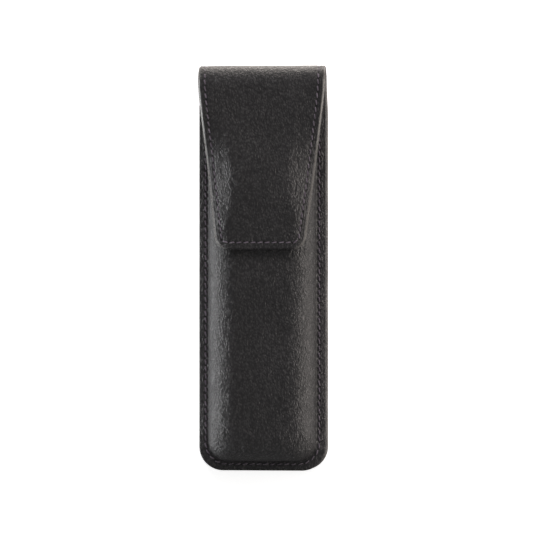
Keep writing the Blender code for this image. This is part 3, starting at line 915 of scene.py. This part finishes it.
def front_offset(index, depth):
    """A point of the section moved inwards from the outer face."""
    inset, height = PROFILE[index]
    run, rise = PROFILE_TURN[index]
    return inset + rise * depth, height - run * depth


def front_indices(step_near, step_far):
    """Indices into the profile, finer over the seam and the crown's base, from the middle outwards."""
    near = 5.0 * MM
    picked, at = [0], 0
    while at < len(PROFILE) - 1:
        at += step_near if PROFILE[at][0] < near else step_far
        picked.append(min(at, len(PROFILE) - 1))
    return sorted(set(picked), reverse=True)


MOUTH_SEAM = 2.4 * MM
MOUTH_GROOVE = 0.12 * MM
MOUTH_ROWS = [k * MM for k in (0, 0.02, 0.08, 0.18, 0.32, 0.5, 0.75, 1.05, 1.4)]  # finer over the turned edge


def front_sheet(cut=0.0, **settings):
    """The outline of a sheet of the front, whose sides are parallel. Cut is what it lacks at the mouth."""
    return Outline(lambda s: HALF_WIDTH + 0 * s, FRONT_LENGTH - cut, body_corner, **settings)


front_outline = front_sheet(columns=26, first=MOUTH_ROWS)


def pinch(s, radius):
    """Rounds a sheet's starting edge: how much of the thickness is left at s."""
    least = 0.06
    rest = np.clip(1 - s / radius, 0, 1)
    return np.maximum(np.sqrt(1 - rest**2), least)


def build_front():
    spots, ways = front_outline.spaced(SEAM_INSET, STITCH_PITCH, start=0.9 * MM)
    holes = holes_between(spots, ways)
    outer = [tuple(PROFILE[k]) for k in front_indices(3, 7)]
    edge = [(inset, PROFILE[0][1] - depth) for inset, depth in half_round(FRONT_SKIN / 2, 9)]
    inner = [front_offset(k, FRONT_SKIN) for k in front_indices(8, 14)[::-1]]
    section = outer + edge + inner
    # The last of these is the strength of the painted shade in the needle holes
    groove, groove_width, pit_depth, painted_pit_shade = 0.08 * MM, 0.5 * MM, 0.20 * MM, 0.3

    def relief(x, s, inset):
        wall_inset, wall_width = 6.5 * MM, 2.6 * MM
        soft = 0.10 * MM * wander(x, s, 22 * MM, 7) + 0.04 * MM * wander(x, s, 8 * MM, 8)
        wall = 0.30 * MM * wander(x, s, 5.0 * MM, 11) * bell(inset - wall_inset, wall_width)
        rim = 0.05 * MM * wander(x, s, 6 * MM, 9) * smooth(6 * MM, 3 * MM, inset)
        return soft * smooth(4 * MM, 9 * MM, inset) + wall + rim

    def valley(inset, pit):
        return groove * bell(inset - SEAM_INSET, groove_width) + pit_depth * pit

    def shape(x, s, inset, height):
        on_outer = np.interp(inset, PROFILE[:, 0], PROFILE[:, 1])
        under = smooth(0.15 * FRONT_SKIN, 0.7 * FRONT_SKIN, on_outer - height)
        pit = bell(nearest(x, s, holes), NEEDLE_HOLE) * (1 - under)
        turned = (TURNED - FRONT_SKIN) * smooth(4.4 * MM, 3.8 * MM, s) * smooth(4.0 * MM, 6.5 * MM, inset)
        channel = MOUTH_GROOVE * bell(s - MOUTH_SEAM, groove_width) * smooth(4.0 * MM, 5.0 * MM, inset)
        z = height + (relief(x, s, inset) - valley(inset, pit) - channel) * (1 - under) - turned * under
        half = (FRONT_SKIN + turned) / 2
        mid = on_outer - half
        z = mid + (z - mid) * pinch(s, half)
        points = np.stack([x, MOUTH_Y - s, z + bottom_lift(s, inset)], axis=1)
        return points, {"edge": 0 * x, "hole": pit * painted_pit_shade}

    cover = sheet("front_leather", front_outline, section, shape, LEATHER)
    finish_piece(cover, None, "black_leather", "front_panel")

    def surface(x, s):
        inset = np.full(len(x), SEAM_INSET)
        z = np.interp(inset, PROFILE[:, 0], PROFILE[:, 1]) - valley(inset, 0) + relief(x, s, inset)
        return np.stack([x, MOUTH_Y - s, z + bottom_lift(s, inset)], axis=1)

    row = lay_stitches("front_stitches", spots, ways, surface, sink=-0.08 * MM)
    finish_piece(row, None, "sewing_thread", "front_seam_thread")
    build_mouth_stitches(relief)
    build_front_lining()
    build_filler()


def build_mouth_stitches(relief):
    """A row across the crown, close to the mouth, spaced evenly over its curve."""
    row_start = 4.8 * MM
    base = PROFILE[PROFILE[:, 0] > row_start]
    left = np.stack([base[:, 0] - HALF_WIDTH, base[:, 1]], axis=1)
    path = np.concatenate([left, left[::-1] * (-1, 1)])
    along = lengths(path)
    x = np.interp(centred(along[-1], STITCH_PITCH), along, path[:, 0])
    spots = np.stack([x, np.full(len(x), MOUTH_SEAM)], axis=1)
    ways = np.tile((-1.0, 0.0), (len(x), 1))

    def surface(x, s):
        inset = HALF_WIDTH - np.abs(x)
        z = np.interp(inset, PROFILE[:, 0], PROFILE[:, 1]) - MOUTH_GROOVE + relief(x, s, inset)
        return np.stack([x, MOUTH_Y - s, z], axis=1)

    row = lay_stitches("mouth_stitches", spots, ways, surface)
    finish_piece(row, None, "sewing_thread", "mouth_thread")


def build_front_lining():
    """The lining of the moulded front, under its board."""
    side_gap, thickness = 0.9 * MM, 0.42 * MM
    under_rim, board_room = 1.25 * MM, 1.08 * MM  # depth under the rim, and the extra under the crown

    def face(index, extra):
        crown = float(smooth(3 * MM, 6.5 * MM, PROFILE[index][0]))
        return front_offset(index, under_rim + board_room * crown + extra)

    kept = [k for k in front_indices(6, 12) if PROFILE[k][0] > side_gap + 0.4 * MM]
    upper = [face(k, 0) for k in kept]
    lower = [face(k, thickness) for k in kept[::-1]]
    rim_high, rim_low = upper[-1][1], lower[0][1]
    edge = [(side_gap + inset, rim_high - depth) for inset, depth in half_round((rim_high - rim_low) / 2, 7)]
    section = upper + edge + lower
    outline = front_sheet(LINING_INSET, columns=20, row_step=1.1 * MM, corner_rows=16)

    def shape(x, s, inset, height):
        return np.stack([x, MOUTH_Y - LINING_INSET - s, height], axis=1), plain(x)

    cloth = sheet("front_lining_cloth", outline, section, shape, CLOTH)
    finish_piece(cloth, None, "charcoal_lining", "front_lining")


def build_filler():
    """The strip of leather that fills the rim between the back and its lining."""
    low, high, outer, inner = 1.40 * MM, 2.34 * MM, 0.30 * MM, 5.3 * MM
    r = (high - low) / 2
    turn = np.linspace(math.pi / 2, -math.pi / 2, 7)
    rings = [2 * MM, 3.5 * MM, inner]
    section = [(outer + r - r * math.cos(a), low + r + r * math.sin(a)) for a in turn]
    section += [(inset, low) for inset in rings] + [(inset, high) for inset in rings[::-1]]
    outline = front_sheet(columns=14, row_step=1.0 * MM, corner_rows=20)

    def shape(x, s, inset, height):
        return np.stack([x, MOUTH_Y - s, height], axis=1), plain(x)

    strip = loop_strip("rim_filler", outline, section, shape, LEATHER)
    finish_piece(strip, None, "black_leather", "seam_filler")


def dress_inner_parts():
    """Materials for the CAD nodes that stay, inside the leather: two of the boards, and the magnets."""
    plate = nickel()
    dressed = {"back_stiffener": BOARD, "front_stiffener": BOARD, "front_magnet": plate, "flap_magnet": plate}
    for name, material in dressed.items():
        for place in frame["nodes"][name].material_slots:
            place.material = material


def build_floor():
    """A white sheet under the case. Only the camera sees it, as in a photo that was cut out on white."""
    material, main = shader("floor_white", (0.92, 0.92, 0.92), 0.8)
    main.inputs["Emission Color"].default_value = (1, 1, 1, 1)
    main.inputs["Emission Strength"].default_value = 0.75
    size, level = 3.0, -0.2 * MM
    points = [(-size, -size, level), (size, -size, level), (size, size, level), (-size, size, level)]
    mesh = bpy.data.meshes.new("floor")
    mesh.from_pydata(points, [], [(0, 1, 2, 3)])
    mesh.materials.append(material)
    floor = bpy.data.objects.new("floor", mesh)
    bpy.context.scene.collection.objects.link(floor)
    floor.visible_glossy = False
    floor.visible_diffuse = False
    floor.visible_shadow = False


def area_light(name, place, target, size, power, colour, shine=True):
    data = bpy.data.lights.new(name, "AREA")
    data.shape = "RECTANGLE"
    data.size, data.size_y = size
    data.energy = power
    data.color = colour
    light = bpy.data.objects.new(name, data)
    light.location = place
    light.rotation_mode = "QUATERNION"
    light.rotation_quaternion = (Vector(target) - Vector(place)).to_track_quat("-Z", "Y")
    light.visible_camera = False
    light.visible_glossy = shine
    bpy.context.scene.collection.objects.link(light)


def build_lights():
    world = bpy.data.worlds.new("studio")
    world.use_nodes = True
    world.node_tree.nodes["Background"].inputs["Color"].default_value = (1, 1, 1, 1)
    world.node_tree.nodes["Background"].inputs["Strength"].default_value = 0.25
    bpy.context.scene.world = world
    bpy.context.scene.view_settings.view_transform = "Standard"
    middle, fold = (0, 0, 0.01), (0, 0.05, 0.01)
    cool, warm, soft_warm, amber = (0.98, 0.99, 1.0), (1.0, 0.93, 0.87), (1.0, 0.97, 0.95), (1.0, 0.92, 0.85)
    area_light("left_softbox", (-0.62, 0.0, -0.06), middle, (0.9, 0.14), 6.0, cool)
    area_light("right_softbox", (0.66, 0.0, 0.04), middle, (0.9, 0.30), 4.7, warm)
    area_light("front_softbox", (0.05, 0.75, 0.50), middle, (0.9, 0.4), 9.2, soft_warm, shine=False)
    area_light("top_softbox", (0.0, 0.45, -0.32), fold, (0.8, 0.40), 4.0, amber)


def build_camera():
    """Almost square to the front, turned a little to the right, and wide enough for the photo's margins."""
    data = bpy.data.cameras.new("photo_camera")
    distance, turn, half_view = 0.85, math.radians(3.3), 0.1063
    data.sensor_width = 36
    data.lens = data.sensor_width / 2 / (half_view / distance)
    target = Vector((0.00300, -0.0008, 0.005))
    camera = bpy.data.objects.new("photo_camera", data)
    camera.location = target + distance * Vector((math.sin(turn), 0, math.cos(turn)))
    back = (camera.location - target).normalized()
    right = Vector((0, 1, 0)).cross(back).normalized()
    camera.rotation_mode = "QUATERNION"
    camera.rotation_quaternion = Matrix((right, back.cross(right), back)).transposed().to_quaternion()
    bpy.context.scene.collection.objects.link(camera)
    bpy.context.scene.camera = camera


build_camera()
build_lights()
build_floor()
build_back()
build_fold()
build_flap()
build_flap_board()
build_front()
dress_inner_parts()
